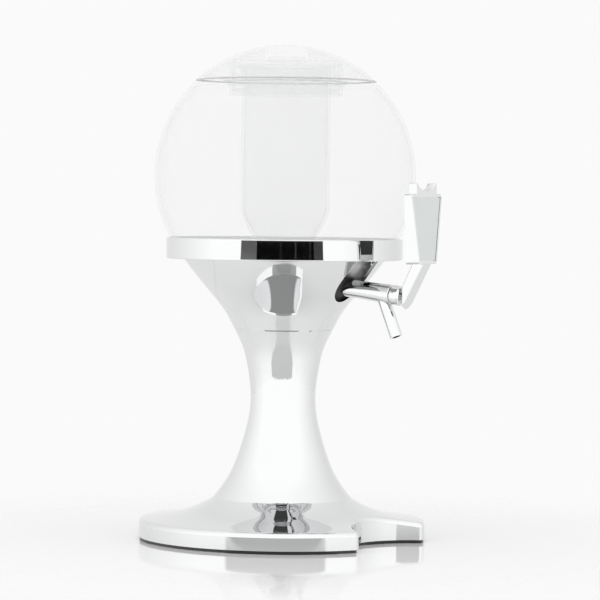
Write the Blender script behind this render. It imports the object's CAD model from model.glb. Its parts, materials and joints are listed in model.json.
# Looks of a ball drink dispenser: chromed pedestal, clear globe with an ice tube, quarter-turn tap.
# Metres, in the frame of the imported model: the floor is z = 0, the globe's axis is Z and the tap
# points along +X.
import json
import math

import bmesh
import bpy
from mathutils import Matrix, Vector


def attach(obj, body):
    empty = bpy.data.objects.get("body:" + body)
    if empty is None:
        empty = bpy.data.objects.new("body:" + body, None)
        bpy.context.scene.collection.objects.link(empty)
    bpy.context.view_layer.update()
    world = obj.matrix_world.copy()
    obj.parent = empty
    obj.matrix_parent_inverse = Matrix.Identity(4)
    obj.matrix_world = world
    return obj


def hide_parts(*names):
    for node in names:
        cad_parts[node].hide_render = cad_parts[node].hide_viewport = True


# Camera, from the photograph's 600 x 600 frame
CAMERA_BEARING = math.radians(-55.0)  # where the camera stands, from +X about Z
CAMERA_DISTANCE = 2.5
CAMERA_HEIGHT = 0.2704
CAMERA_ROLL = math.radians(0.6)
IMAGE_PX = 600
FOCAL_PX = 3185
HORIZON_PX = 195
AXIS_PX = 284
SENSOR_MM = 36.0

# Room
WORLD_DIFFUSE = 0.78  # light that it gives to matt surfaces
PAPER_WHITE = 0.955  # the background's level
FRONT_GLOSS = 1.30  # what polished metal sees on the camera's side
BACK_GLOSS = 0.91  # and behind the object
FRONT_BEARING = math.radians(-8.0)  # of the brightest side, from the camera's
FRONT_STARTS = -0.82  # cosines of the bearing between the two
FRONT_FULL = 0.42

# Doorway behind the camera, which polished metal sees only in later reflections
DOORWAY_BEARING = math.radians(-5.0)  # from the camera's
DOORWAY_HALF_ANGLE = math.radians(40.0)
DOORWAY_SOFT = 0.04
DOORWAY_SHARES = ((2, 0.34), (3, 0.2))  # from which reflection on, and the share of light it leaves

# Lamps: name, bearing from the camera's in degrees, height, distance, size and power
LAMPS = (
    ("top_softbox", 0.0, 1.9, 0.25, 1.5, 8.0),
    ("left_softbox", -62.0, 0.9, 1.5, 1.1, 5.0),
    ("right_softbox", 70.0, 0.8, 1.6, 1.0, 3.0),
)
LAMP_AIM_HEIGHT = 0.18

# Light paths
LIGHT_BOUNCES = 24
GLOSSY_BOUNCES = 10
CLEAR_LAYERS = 96  # clear surfaces that a ray may cross

# Table top
FLOOR_TONE = 0.90
FLOOR_SOLID_R = 0.16  # whole up to here, then it fades into the background
FLOOR_FADE_R = 0.46
FLOOR_R = 1.2
FLOOR_SIDES = 96
FLOOR_GAP = 0.0003  # under the base plate

# What only polished metal sees of the table: how it fades, its edges and the darker places on it
MIRROR_FADE_STARTS = 0.08  # depth towards the camera and radius, added up
MIRROR_FADE_ENDS = 0.85
TABLE_HALF_W = 0.25
TABLE_LINE_W = 0.006
TABLE_LINE_SHARE = 0.12
DARKEST_TONE = 0.40

# Darker place in front of the object, a corner that opens towards the camera
MAT_APEX = 0.092
MAT_HALF_ANGLE = math.radians(45.0)
MAT_LEAN = 0.2  # to the left, a metre of depth
MAT_LEAN_STARTS = 0.11
MAT_SOFT = 0.012
MAT_END_STARTS_R = 0.376
MAT_END_R = 0.40
MAT_PALE_DEPTH = 0.11
MAT_DARK_DEPTH = 0.19
MAT_PALE_SHARE = 0.25
MAT_SHARE = 0.36  # of the way from the table's tone to the darkest

# Ring round the base: dark in front of it, with a bright card on either side
RING_R = 0.126
RING_DARK_HALF_W = 0.041
RING_BRIGHT_HALF_W = 0.082
RING_BRIGHT_LEAN = 0.017  # the bright cards reach further to the left
RING_SOFT = 0.003

# Dark slats that the collar mirrors, lying level across the camera's bearing
SLAT_HEIGHT = 0.195
SLAT_NEAR = 1.2
SLAT_FAR = 3.3
SLAT_LEAST_STEPS = 2  # a slat has about one step for each degree
SLAT_FIBRE_SHARE = 1.3  # tone of a pale fibre against the card's
SLATS = (  # start and end in degrees from the camera's bearing, and tone
    (-41.5, -26.0, 0.14),
    (-26.0, -4.4, 0.003),
    (-4.4, -2.6, 0.018),
    (-2.6, 9.6, 0.003),
    (9.6, 11.0, 0.040),
    (11.0, 23.4, 0.003),
    (23.4, 24.6, 0.030),
    (24.6, 27.6, 0.002),
    (27.6, 36.5, 0.060),
)
UNSEEN_RAYS = ("camera", "diffuse", "transmission", "shadow", "volume_scatter")

# Finishes
NOISE_ROUGHNESS = 0.55
FINE_RELIEF = 0.0001  # height of a fine grain
PLATE_ROUGHNESS = 0.008
HAZE_ROUGHNESS = 0.012  # what haze and wiping marks add to plating
WIPE_ROUGHNESS = 0.006
BARE_ROUGHNESS = 0.45  # what a bare face adds
BARE_FULL = -0.5  # cosines between which a face that looks towards the axis turns from plated to bare
BARE_STARTS = -0.35

# Film that clear plastic shows face on, what its edges add, and the lid's less polished rim
GLOBE_FILM = 0.05
TUBE_FILM = 0.08
EDGE_FILM = 0.35
RIM_FILM = 0.4
RIM_ROUGHNESS = 0.2
RIM_LOW = 0.3590
RIM_HIGH = 0.3602
RIM_SOFT = 0.0003
RIM_INNER_R = 0.062

# Soft crease round the pedestal, where its trunk meets the flat of the base
CREASE_STARTS_R = 0.0433
CREASE_R = 0.0550
CREASE_ENDS_R = 0.0720
CREASE_FALL = 0.00170  # how far the surface goes in from the trunk to the crease
CREASE_RISE = 0.00100  # and out again from there to the flat
CREASE_FADE_LOW = 0.045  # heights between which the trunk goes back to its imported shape
CREASE_FADE_HIGH = 0.100
CREASE_UPWARD = 0.1  # cosine from which an upward face is wholly on the outside of the flare
CREASE_EDGE = 0.0016  # an edge longer than this is cut near the crease
CREASE_CUTS = 3  # times that all such edges are halved
MERGE_GAP = 0.000002  # points closer than this are one

# Thread on the end of the tap's shank, along the tap's axis
SHANK_R = 0.0045
THREAD_START = -0.0226
THREAD_L = 0.0014
THREAD_PITCH = 0.0007
THREAD_RIDGE_R = 0.0003
THREAD_RIDGE_SIDES = 6
THREAD_STEPS = 28

# Sockets of a Mix node that is set to colours, which share their names with others
MIX_LOW = 6
MIX_HIGH = 7
MIX_RESULT = 2


class Value:
    """A node's output, so that shader maths can be written as expressions."""

    def __init__(self, finish, socket):
        self.finish = finish
        self.socket = socket

    def maths(self, operation, first, second=0.0):
        return self.finish.node("ShaderNodeMath", {"operation": operation}, {0: first, 1: second})

    def __add__(self, other):
        return self.maths("ADD", self, other)

    __radd__ = __add__

    def __sub__(self, other):
        return self.maths("SUBTRACT", self, other)

    def __rsub__(self, other):
        return self.maths("SUBTRACT", other, self)

    def __mul__(self, other):
        return self.maths("MULTIPLY", self, other)

    __rmul__ = __mul__

    def __abs__(self):
        return self.maths("ABSOLUTE", self)

    def most(self, other):
        return self.maths("MAXIMUM", self, other)

    def span(self, low, high):
        """Number that goes from low to high while this value goes from 0 to 1."""
        return low + (high - low) * self

    def reaches(self, count):
        """1 where a whole number is at least this count."""
        return self.maths("GREATER_THAN", self, count - 0.5)


class Finish:
    """The node tree of a material or of the world."""

    def __init__(self, owner):
        owner.use_nodes = True
        self.owner = owner
        self.tree = owner.node_tree
        self.tree.nodes.clear()

    def node(self, kind, settings=None, inputs=None, output=0):
        """Adds one node: its settings first, then the values or links of its inputs."""
        made = self.tree.nodes.new(kind)
        for name, value in (settings or {}).items():
            setattr(made, name, value)
        for name, value in (inputs or {}).items():
            if isinstance(value, Value):
                self.tree.links.new(value.socket, made.inputs[name])
            else:
                made.inputs[name].default_value = value
        return Value(self, made.outputs[output]) if made.outputs else None

    def ray(self, kind):
        """What the light path says of a ray, such as 1 for one that comes straight from the camera."""
        return self.node("ShaderNodeLightPath", output=kind)

    def vector(self, operation, first, second=(0.0, 0.0, 0.0), output="Vector"):
        settings = {"operation": operation}
        return self.node("ShaderNodeVectorMath", settings, {0: first, 1: second}, output)

    def dot(self, first, second):
        return self.vector("DOT_PRODUCT", first, second, output="Value")

    def length(self, vector):
        return self.vector("LENGTH", vector, output="Value")

    def coordinate(self, vector, axis):
        return self.node("ShaderNodeSeparateXYZ", {}, {"Vector": vector}, output=axis)

    def place(self, scale=(1.0, 1.0, 1.0), turn=(0.0, 0.0, 0.0)):
        """Object coordinates, turned and scaled."""
        spot = self.node("ShaderNodeTexCoord", output="Object")
        return self.node("ShaderNodeMapping", {}, {"Vector": spot, "Scale": scale, "Rotation": turn})

    def from_axis(self):
        """Level vector from the globe's axis."""
        return self.vector("MULTIPLY", self.place(), (1.0, 1.0, 0.0))

    def noise(self, scale, detail=2.0, stretch=(1.0, 1.0, 1.0)):
        """Soft noise from 0 to 1, at a scale in grains a metre."""
        inputs = {"Scale": scale, "Detail": detail, "Roughness": NOISE_ROUGHNESS}
        return self.node("ShaderNodeTexNoise", {}, {"Vector": self.place(stretch), **inputs})

    def between(self, low, high, share):
        """Colour between two, each fixed or made by nodes, by a value from 0 to 1."""
        low, high = (end if isinstance(end, Value) else (*end, 1.0) for end in (low, high))
        inputs = {"Factor": share, MIX_LOW: low, MIX_HIGH: high}
        return self.node("ShaderNodeMix", {"data_type": "RGBA"}, inputs, MIX_RESULT)

    def step(self, value, low, high, shape="SMOOTHSTEP"):
        """0 below low, 1 above high, smooth or straight between them."""
        inputs = {"Value": value, "From Min": low, "From Max": high}
        return self.node("ShaderNodeMapRange", {"interpolation_type": shape}, inputs)

    def bump(self, height, strength):
        """Normal of a fine grain."""
        inputs = {"Height": height, "Strength": strength, "Distance": FINE_RELIEF}
        return self.node("ShaderNodeBump", {}, inputs)

    def principled(self, inputs):
        return self.node("ShaderNodeBsdfPrincipled", {}, inputs)

    def ends_in(self, shader):
        """Ends a material's tree in a shader, and gives the material."""
        self.node("ShaderNodeOutputMaterial", {}, {"Surface": shader})
        return self.owner

    def surface(self, inputs):
        """Ends the tree in one principled surface."""
        return self.ends_in(self.principled(inputs))

    def part_clear(self, shader, share):
        """Ends the tree in a shader that is clear by a share."""
        nothing = self.node("ShaderNodeBsdfTransparent")
        return self.ends_in(self.node("ShaderNodeMixShader", {}, {0: share, 1: shader, 2: nothing}))


def finish(name):
    return Finish(bpy.data.materials.new(name))


def plating(made):
    """Bright plating on moulded plastic: even, with a faint haze of wiping marks."""
    dark, pale = (0.735, 0.74, 0.745), (0.765, 0.768, 0.77)
    haze = made.noise(scale=38.0, detail=3.0)
    wipe = made.noise(scale=900.0, detail=1.0, stretch=(1.0, 1.0, 0.06))
    roughness = PLATE_ROUGHNESS + HAZE_ROUGHNESS * haze + WIPE_ROUGHNESS * wipe
    return made.between(dark, pale, haze), roughness


def chrome_plate():
    """Plating all over."""
    made = finish("chrome_plate")
    colour, roughness = plating(made)
    return made.surface({"Base Color": colour, "Metallic": 1.0, "Roughness": roughness})


def plated_outside():
    """Plating on a ring or funnel whose inner faces are left as bare pale plastic."""
    made = finish("plated_outside")
    bare_tone = (0.84, 0.845, 0.84)
    colour, roughness = plating(made)
    outward = made.vector("NORMALIZE", made.from_axis())
    normal = made.node("ShaderNodeTexCoord", output="Normal")
    bare = 1.0 - made.step(made.dot(normal, outward), BARE_FULL, BARE_STARTS)
    return made.surface(
        {
            "Base Color": made.between(colour, bare_tone, bare),
            "Metallic": 1.0 - bare,
            "Roughness": roughness + BARE_ROUGHNESS * bare,
        }
    )


def lid_rim(made):
    """1 on the narrow band round the lid's rim, 0 elsewhere."""
    height = made.coordinate(made.place(), "Z")
    over = made.step(height, RIM_LOW, RIM_LOW + RIM_SOFT)
    under = 1.0 - made.step(height, RIM_HIGH, RIM_HIGH + RIM_SOFT)
    outside = made.step(made.length(made.from_axis()), RIM_INNER_R, RIM_INNER_R + RIM_SOFT)
    return over * under * outside


def clear_plastic(name, film):
    """Polished clear plastic in thin walls: a faint film that thickens towards its edges."""
    made = finish(name)
    dark, pale, rim_tone = (0.80, 0.81, 0.81), (0.85, 0.86, 0.86), (0.36, 0.365, 0.365)
    cloud = made.noise(scale=14.0)
    ripple = made.noise(scale=60.0, detail=1.0)
    slant = made.node("ShaderNodeLayerWeight", {}, {"Blend": 0.5}, output="Facing")
    square = slant * slant
    edge = square * square * square
    rim = lid_rim(made)
    return made.surface(
        {
            "Base Color": made.between(made.between(dark, pale, cloud), rim_tone, rim),
            "Roughness": ripple.span(low=0.02, high=0.06) + RIM_ROUGHNESS * rim,
            "IOR": 1.49,
            "Alpha": film + EDGE_FILM * edge + RIM_FILM * rim,
        }
    )


def frosted_plastic():
    """The same clear plastic with a matt inside, as the bowl under the globe has it."""
    made = finish("frosted_plastic")
    dark, pale = (0.90, 0.905, 0.905), (0.95, 0.952, 0.952)
    frost = made.noise(scale=1600.0)
    return made.surface(
        {
            "Base Color": made.between(dark, pale, made.noise(scale=24.0)),
            "Roughness": frost.span(low=0.40, high=0.60),
            "IOR": 1.3,
            "Transmission Weight": 0.3,
            "Normal": made.bump(frost, strength=0.15),
        }
    )


def milky_silicone():
    """Soft translucent rings."""
    made = finish("milky_silicone")
    dark, pale = (0.80, 0.81, 0.81), (0.88, 0.885, 0.88)
    grain = made.noise(scale=2600.0, detail=1.0)
    return made.surface(
        {
            "Base Color": made.between(dark, pale, made.noise(scale=120.0)),
            "Roughness": grain.span(low=0.42, high=0.56),
            "Normal": made.bump(grain, strength=0.2),
        }
    )


def black_plastic():
    """Moulded plate with a fine spark grain."""
    made = finish("black_plastic")
    dark, pale = (0.008, 0.008, 0.009), (0.022, 0.022, 0.023)
    grain = made.noise(scale=1800.0)
    return made.surface(
        {
            "Base Color": made.between(dark, pale, made.noise(scale=30.0)),
            "Roughness": grain.span(low=0.30, high=0.52),
            "Normal": made.bump(grain, strength=0.25),
        }
    )


def black_rubber():
    """Matt rubber with a dusty bloom."""
    made = finish("black_rubber")
    dark, pale = (0.006, 0.006, 0.006), (0.020, 0.020, 0.021)
    bloom = made.noise(scale=260.0, detail=3.0)
    grain = made.noise(scale=3200.0, detail=1.0)
    return made.surface(
        {
            "Base Color": made.between(dark, pale, bloom),
            "Roughness": bloom.span(low=0.46, high=0.66),
            "Normal": made.bump(grain, strength=0.3),
        }
    )


def satin_panel():
    """Plain satin grey plate with a fine upright brushing."""
    made = finish("satin_panel")
    dark, pale = (0.66, 0.69, 0.68), (0.73, 0.76, 0.75)
    shade_share = 0.65
    brushing = made.noise(scale=4200.0, stretch=(1.0, 1.0, 0.02))
    shade = made.noise(scale=40.0)
    tone = shade_share * shade + (1.0 - shade_share) * brushing
    return made.surface(
        {
            "Base Color": made.between(dark, pale, tone),
            "Metallic": 0.35,
            "Roughness": brushing.span(low=0.30, high=0.46),
            "Normal": made.bump(brushing, strength=0.12),
        }
    )


def white_plastic():
    """Moulded nut, slightly warm."""
    made = finish("white_plastic")
    dark, pale = (0.78, 0.78, 0.76), (0.86, 0.86, 0.85)
    shade = made.noise(scale=180.0)
    return made.surface(
        {
            "Base Color": made.between(dark, pale, shade),
            "Roughness": shade.span(low=0.34, high=0.48),
        }
    )


def screw_steel():
    """Plain bright screws with fine turning marks."""
    made = finish("screw_steel")
    dark, pale = (0.52, 0.52, 0.53), (0.68, 0.68, 0.68)
    turning = made.noise(scale=2400.0, stretch=(0.08, 0.08, 1.0))
    return made.surface(
        {
            "Base Color": made.between(dark, pale, turning),
            "Metallic": 1.0,
            "Roughness": turning.span(low=0.22, high=0.42),
        }
    )


def dress(by_slot, by_node):
    """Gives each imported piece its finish: one of its own, or that of its material slot in the record."""
    for subpart in frame["record"]["subparts"]:
        node = subpart["node"]
        mesh = frame["nodes"][node].data
        mesh.materials.clear()
        mesh.materials.append(by_node.get(node, by_slot[subpart["material_slot"]]))


def add_object(name, data):
    made = bpy.data.objects.new(name, data)
    bpy.context.scene.collection.objects.link(made)
    return made


def view_axes(bearing=0.0):
    """Level directions at a bearing from the camera's: along it, and to the right of that."""
    turn = CAMERA_BEARING + bearing
    toward = Vector((math.cos(turn), math.sin(turn), 0.0))
    right = Vector((-toward.y, toward.x, 0.0))
    return toward, right


def looking(direction):
    """Turn of a camera or lamp that looks in a direction."""
    return direction.to_track_quat("-Z", "Y").to_matrix().to_4x4()


def add_camera():
    """Camera at the photograph's place, aimed so that the axis and the horizon fall on their pixels."""
    toward, right = view_axes()
    up = Vector((0.0, 0.0, 1.0))
    middle = IMAGE_PX / 2
    aim = -toward + right * ((middle - AXIS_PX) / FOCAL_PX) - up * ((middle - HORIZON_PX) / FOCAL_PX)
    place = Matrix.Translation(toward * CAMERA_DISTANCE + up * CAMERA_HEIGHT)
    lens = bpy.data.cameras.new("photo_camera")
    lens.sensor_width = SENSOR_MM
    lens.lens = FOCAL_PX / IMAGE_PX * SENSOR_MM
    camera = add_object("photo_camera", lens)
    camera.matrix_world = place @ looking(aim) @ Matrix.Rotation(CAMERA_ROLL, 4, "Z")
    bpy.context.scene.camera = camera


def room_gloss(room):
    """What polished metal sees: brightest on the camera's side, with the doorway in later reflections."""
    heading = room.node("ShaderNodeTexCoord", output="Generated")
    brightest, _ = view_axes(FRONT_BEARING)
    front = room.step(room.dot(heading, brightest), FRONT_STARTS, FRONT_FULL, "LINEAR")
    gloss = front.span(BACK_GLOSS, FRONT_GLOSS)
    ahead, beside = view_axes(DOORWAY_BEARING)
    half_width = room.dot(heading, ahead) * math.tan(DOORWAY_HALF_ANGLE)
    doorway = room.step(half_width - abs(room.dot(heading, beside)), -DOORWAY_SOFT, DOORWAY_SOFT)
    mirrors = room.ray("Glossy Depth")
    for count, share in DOORWAY_SHARES:
        gloss = gloss * (1.0 - (1.0 - share) * mirrors.reaches(count) * doorway)
    return gloss


def add_world():
    """White room: paper white to the camera and through clear plastic, softer on matt surfaces."""
    world = bpy.data.worlds.new("studio")
    bpy.context.scene.world = world
    room = Finish(world)
    gloss = room_gloss(room)
    seen = room.ray("Is Camera Ray").most(room.ray("Is Transmission Ray"))
    level = seen.span(WORLD_DIFFUSE, PAPER_WHITE)
    strength = level + (gloss - level) * room.ray("Is Glossy Ray")
    white = (1.0, 1.0, 1.0, 1.0)
    sky = room.node("ShaderNodeBackground", {}, {"Color": white, "Strength": strength})
    room.node("ShaderNodeOutputWorld", {}, {"Surface": sky})


def add_lamp(name, bearing, height, distance, size, power):
    """Square soft lamp that looks at the middle of the object, at a bearing from the camera's."""
    lamp = bpy.data.lights.new(name, "AREA")
    lamp.size = size
    lamp.energy = power
    toward, _ = view_axes(math.radians(bearing))
    place = toward * distance + Vector((0.0, 0.0, height))
    holder = add_object(name, lamp)
    aim = Vector((0.0, 0.0, LAMP_AIM_HEIGHT)) - place
    holder.matrix_world = Matrix.Translation(place) @ looking(aim)
    holder.visible_glossy = False
    holder.visible_transmission = False


def stage_mesh(name, points, faces, material):
    """Mesh that belongs to the studio, not to the object."""
    mesh = bpy.data.meshes.new(name)
    mesh.from_pydata(points, [], faces)
    mesh.materials.append(material)
    piece = add_object(name, mesh)
    return piece


def mat_mask(made, depth, side, radius):
    """1 inside the darker place in front of the object."""
    lean = MAT_LEAN * (depth - MAT_LEAN_STARTS)
    inside = (depth - MAT_APEX) * math.tan(MAT_HALF_ANGLE) - abs(side + lean)
    ends = made.step(radius, MAT_END_STARTS_R, MAT_END_R)
    return made.step(inside, -MAT_SOFT, MAT_SOFT) * (1.0 - ends)


def ring_masks(made, depth, side, radius):
    """The front half of the ring round the base: 1 in its dark middle, and 1 on its bright cards."""
    ring = (1.0 - made.step(radius, RING_R, RING_R + RING_SOFT)) * made.step(depth, 0.0, RING_SOFT)
    beyond = made.step(abs(side), RING_DARK_HALF_W, RING_DARK_HALF_W + RING_SOFT)
    reach = abs(side + RING_BRIGHT_LEAN)
    past_cards = made.step(reach, RING_BRIGHT_HALF_W, RING_BRIGHT_HALF_W + RING_SOFT)
    return ring * (1.0 - beyond), ring * beyond * (1.0 - past_cards)


def pale_table():
    """Glossy pale table top, whole under the object and fading into the white room around it."""
    made = finish("pale_table")
    spot = made.place(turn=(0.0, 0.0, -CAMERA_BEARING))
    depth = made.coordinate(spot, "X")
    side = made.coordinate(spot, "Y")
    radius = made.length(spot)
    mirrored = made.ray("Is Glossy Ray")
    mat = mat_mask(made, depth, side, radius)
    mat_depth = made.step(depth, MAT_PALE_DEPTH, MAT_DARK_DEPTH)
    mat_shade = mat * mat_depth.span(MAT_PALE_SHARE, 1.0) * MAT_SHARE
    ring_dark, ring_bright = ring_masks(made, depth, side, radius)
    line = 1.0 - made.step(abs(abs(side) - TABLE_HALF_W), 0.0, TABLE_LINE_W)
    shade = mat_shade.most(ring_dark).most(line * TABLE_LINE_SHARE) * mirrored
    top = made.principled(
        {
            "Base Color": made.between((FLOOR_TONE,) * 3, (DARKEST_TONE,) * 3, shade),
            "Roughness": made.noise(scale=5.0).span(low=0.035, high=0.065),
        }
    )
    plain_fade = made.step(radius, FLOOR_SOLID_R, FLOOR_FADE_R)
    mirror_fade = made.step(depth + radius, MIRROR_FADE_STARTS, MIRROR_FADE_ENDS) * (1.0 - mat)
    fade = plain_fade + (mirror_fade.most(ring_bright) - plain_fade) * mirrored
    return made.part_clear(top, fade)


def add_floor():
    """Round table top just under the base plate."""
    turns = [2 * math.pi * step / FLOOR_SIDES for step in range(FLOOR_SIDES)]
    points = [(math.cos(turn) * FLOOR_R, math.sin(turn) * FLOOR_R, -FLOOR_GAP) for turn in turns]
    stage_mesh("table_top", points, [tuple(range(FLOOR_SIDES))], pale_table())


def slat_card(tone):
    """Dull card, dark on its upper face and clear from below."""
    made = finish("slat_card")
    fibre_tone = tone * SLAT_FIBRE_SHARE
    colour = made.between((tone,) * 3, (fibre_tone,) * 3, made.noise(scale=30.0))
    card = made.principled({"Base Color": colour, "Roughness": 0.9, "Specular IOR Level": 0.0})
    return made.part_clear(card, made.node("ShaderNodeNewGeometry", output="Backfacing"))


def add_slats():
    """Level slats round the camera's bearing, seen only as reflections in polished metal."""
    for number, (start, end, tone) in enumerate(SLATS):
        count = max(SLAT_LEAST_STEPS, round(end - start))
        points = []
        for step in range(count + 1):
            toward, _ = view_axes(math.radians(start + (end - start) * step / count))
            for reach in (SLAT_NEAR, SLAT_FAR):
                points.append((toward.x * reach, toward.y * reach, SLAT_HEIGHT))
        faces = [(2 * step, 2 * step + 1, 2 * step + 3, 2 * step + 2) for step in range(count)]
        slat = stage_mesh(f"slat_{number}", points, faces, slat_card(tone))
        for ray in UNSEEN_RAYS:
            setattr(slat, f"visible_{ray}", False)


def ramp(value, low, high):
    """0 below low, 1 above high, straight between them."""
    return min(1.0, max(0.0, (value - low) / (high - low)))


def eased(value, low, high):
    """0 below low, 1 above high, smooth between them."""
    share = ramp(value, low, high)
    return share * share * (3.0 - 2.0 * share)


def crease_height(radius):
    """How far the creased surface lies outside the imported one, at a distance from the axis."""
    above = ramp(radius, CREASE_STARTS_R, CREASE_R)
    below = 1.0 - ramp(radius, CREASE_R, CREASE_ENDS_R)
    return CREASE_FALL * (1.0 - above * above) - CREASE_RISE * below * below


def crease_slope(radius):
    """Change of that height along the radius."""
    if CREASE_STARTS_R < radius < CREASE_R:
        return -2.0 * CREASE_FALL * (radius - CREASE_STARTS_R) / (CREASE_R - CREASE_STARTS_R) ** 2
    if CREASE_R <= radius < CREASE_ENDS_R:
        return 2.0 * CREASE_RISE * (CREASE_ENDS_R - radius) / (CREASE_ENDS_R - CREASE_R) ** 2
    return 0.0


def creased(point, normal):
    """A point of the pedestal and its normal, moved to the creased surface."""
    flat = Vector((point.x, point.y, 0.0))
    radius = flat.length
    outside = eased(normal.z, 0.0, CREASE_UPWARD)
    share = outside * (1.0 - eased(point.z, CREASE_FADE_LOW, CREASE_FADE_HIGH))
    if radius >= CREASE_ENDS_R or share == 0.0:
        return point.copy(), normal.copy()
    outward = flat.normalized()
    along = outward - normal * outward.dot(normal)
    tilted = (normal - along * crease_slope(radius) * share).normalized()
    return point + normal * crease_height(radius) * share, tilted


def is_cut(edge):
    """Whether an edge lies on the outside of the flare, near the crease, and is too long for it."""
    on_flare = all(end.normal.z > 0.0 and end.co.z < CREASE_FADE_HIGH for end in edge.verts)
    near = any(CREASE_STARTS_R < end.co.xy.length < CREASE_ENDS_R for end in edge.verts)
    return on_flare and near and edge.calc_length() > CREASE_EDGE


def make_triangles(shell):
    bmesh.ops.triangulate(shell, faces=[face for face in shell.faces if len(face.verts) > 3])


def cut_finer(shell):
    """Halves the edges near the crease until they are short enough for it."""
    bmesh.ops.remove_doubles(shell, verts=shell.verts, dist=MERGE_GAP)
    for _ in range(CREASE_CUTS):
        shell.normal_update()
        long_edges = [edge for edge in shell.edges if is_cut(edge)]
        bmesh.ops.subdivide_edges(shell, edges=long_edges, cuts=1, use_grid_fill=True)
        make_triangles(shell)
    bmesh.ops.dissolve_degenerate(shell, dist=MERGE_GAP, edges=shell.edges)
    make_triangles(shell)


def add_crease(shell, shading):
    """Moves the points to the creased surface, and gives its normal at each corner of each face."""
    places = {}
    normals = []
    for face in shell.faces:
        for corner in face.loops:
            place, normal = creased(corner.vert.co, corner[shading].normalized())
            places.setdefault(corner.vert, place)
            normals.append(normal)
    for point, place in places.items():
        point.co = place
    return normals


def add_pedestal():
    """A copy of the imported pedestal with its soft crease, shaded by the creased surface."""
    source = frame["nodes"]["lower_body"].data
    mesh = source.copy()
    mesh.name = "pedestal_shell"
    shading = mesh.attributes.new("shading", "FLOAT_VECTOR", "CORNER")
    for corner, normal in zip(shading.data, source.corner_normals):
        corner.vector = normal.vector
    shell = bmesh.new()
    shell.from_mesh(mesh)
    cut_finer(shell)
    normals = add_crease(shell, shell.loops.layers.float_vector["shading"])
    shell.to_mesh(mesh)
    shell.free()
    mesh.attributes.remove(mesh.attributes["shading"])
    mesh.normals_split_custom_set(normals)
    piece = add_object("pedestal_shell", mesh)
    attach(piece, "stand")
    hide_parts("lower_body")


def thread_tree(material):
    """Node tree that sweeps a ridge along a helix about +X, from named sizes."""
    tree = bpy.data.node_groups.new("thread_ridge", "GeometryNodeTree")
    ports = tree.interface
    ports.new_socket("Geometry", in_out="OUTPUT", socket_type="NodeSocketGeometry")
    keys = {}
    for name in ("Radius", "Pitch", "Length", "Ridge"):
        keys[name] = ports.new_socket(name, in_out="INPUT", socket_type="NodeSocketFloat").identifier
    add = tree.nodes.new
    link = tree.links.new
    given = add("NodeGroupInput")
    turns = add("ShaderNodeMath")
    turns.operation = "DIVIDE"
    link(given.outputs["Length"], turns.inputs[0])
    link(given.outputs["Pitch"], turns.inputs[1])
    helix = add("GeometryNodeCurveSpiral")
    helix.inputs["Resolution"].default_value = THREAD_STEPS
    link(turns.outputs[0], helix.inputs["Rotations"])
    link(given.outputs["Radius"], helix.inputs["Start Radius"])
    link(given.outputs["Radius"], helix.inputs["End Radius"])
    link(given.outputs["Length"], helix.inputs["Height"])
    lay = add("GeometryNodeTransform")
    lay.inputs["Rotation"].default_value = (0.0, math.radians(90.0), 0.0)
    link(helix.outputs["Curve"], lay.inputs["Geometry"])
    ridge = add("GeometryNodeCurvePrimitiveCircle")
    ridge.inputs["Resolution"].default_value = THREAD_RIDGE_SIDES
    link(given.outputs["Ridge"], ridge.inputs["Radius"])
    sweep = add("GeometryNodeCurveToMesh")
    sweep.inputs["Fill Caps"].default_value = True
    link(lay.outputs["Geometry"], sweep.inputs["Curve"])
    link(ridge.outputs["Curve"], sweep.inputs["Profile Curve"])
    whole = add("GeometryNodeRealizeInstances")
    link(sweep.outputs["Mesh"], whole.inputs["Geometry"])
    dressed = add("GeometryNodeSetMaterial")
    dressed.inputs["Material"].default_value = material
    link(whole.outputs["Geometry"], dressed.inputs["Geometry"])
    out = add("NodeGroupOutput")
    link(dressed.outputs["Geometry"], out.inputs["Geometry"])
    return tree, keys


def thread_mesh(material):
    """The thread as a mesh, along +X from the origin."""
    tree, keys = thread_tree(material)
    sizes = {"Radius": SHANK_R, "Pitch": THREAD_PITCH, "Length": THREAD_L, "Ridge": THREAD_RIDGE_R}
    helper = add_object("thread_helper", bpy.data.meshes.new("thread_helper"))
    maker = helper.modifiers.new("thread", "NODES")
    maker.node_group = tree
    for name, size in sizes.items():
        maker[keys[name]] = size
    bpy.context.view_layer.update()
    made = helper.evaluated_get(bpy.context.evaluated_depsgraph_get())
    mesh = bpy.data.meshes.new_from_object(made)
    helper.modifiers.clear()
    bpy.data.objects.remove(helper)
    mesh.name = "shank_thread"
    return mesh


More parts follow.
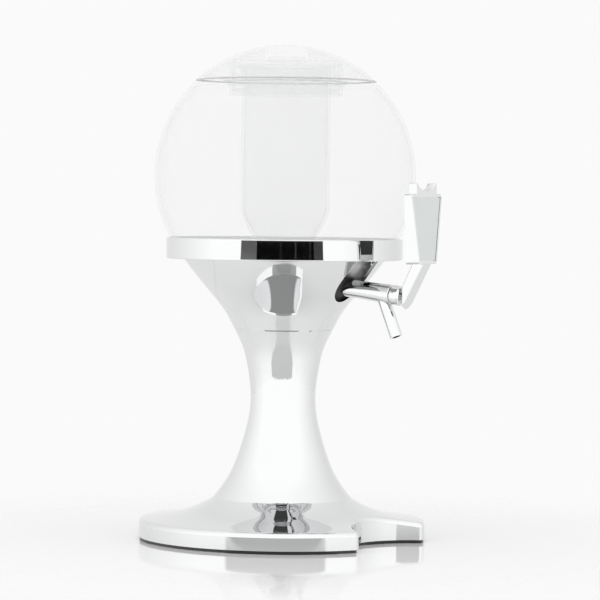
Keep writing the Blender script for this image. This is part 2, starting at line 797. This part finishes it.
def add_shank_thread(material):
    """Thread on the end of the tap's shank, inside the vessel, past the nut."""
    mesh = thread_mesh(material)
    tap = next(joint for joint in frame["joints"] if joint["name"] == "lever_turn")
    along = Vector(tap["axis"])
    start = Vector(tap["pos_m"]) + along * THREAD_START
    mesh.transform(Matrix.Translation(start) @ along.to_track_quat("X", "Z").to_matrix().to_4x4())
    piece = add_object("shank_thread", mesh)
    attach(piece, "stand")


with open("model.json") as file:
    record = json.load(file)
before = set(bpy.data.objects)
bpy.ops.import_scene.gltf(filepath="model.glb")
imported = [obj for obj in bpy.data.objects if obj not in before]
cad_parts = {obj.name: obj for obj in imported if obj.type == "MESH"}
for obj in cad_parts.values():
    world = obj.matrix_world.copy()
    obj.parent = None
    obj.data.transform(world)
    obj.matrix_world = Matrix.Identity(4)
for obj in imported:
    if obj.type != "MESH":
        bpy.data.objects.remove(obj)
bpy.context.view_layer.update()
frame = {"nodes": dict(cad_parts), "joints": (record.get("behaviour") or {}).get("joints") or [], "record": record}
bpy.context.scene.view_settings.view_transform = "Standard"
bpy.context.scene.cycles.max_bounces = LIGHT_BOUNCES
bpy.context.scene.cycles.transmission_bounces = LIGHT_BOUNCES
bpy.context.scene.cycles.glossy_bounces = GLOSSY_BOUNCES
bpy.context.scene.cycles.transparent_max_bounces = CLEAR_LAYERS
add_camera()
add_world()
add_floor()
add_slats()
for lamp in LAMPS:
    add_lamp(*lamp)
chrome = chrome_plate()
moulding = plated_outside()
thick_film = clear_plastic("clear_plastic_thick", TUBE_FILM)
dress(
    by_slot={
        "clear_plastic": clear_plastic("clear_plastic", GLOBE_FILM),
        "chrome": chrome,
        "black_plastic": black_plastic(),
        "black_rubber": black_rubber(),
        "clear_silicone": milky_silicone(),
        "grey_panel": satin_panel(),
        "white_plastic": white_plastic(),
        "screw_steel": screw_steel(),
    },
    by_node={
        "bowl": frosted_plastic(),
        "collar_ring": moulding,
        "upper_body": moulding,
        "ice_tube": thick_film,
        "lid": thick_film,
    },
)
add_pedestal()
add_shank_thread(chrome)
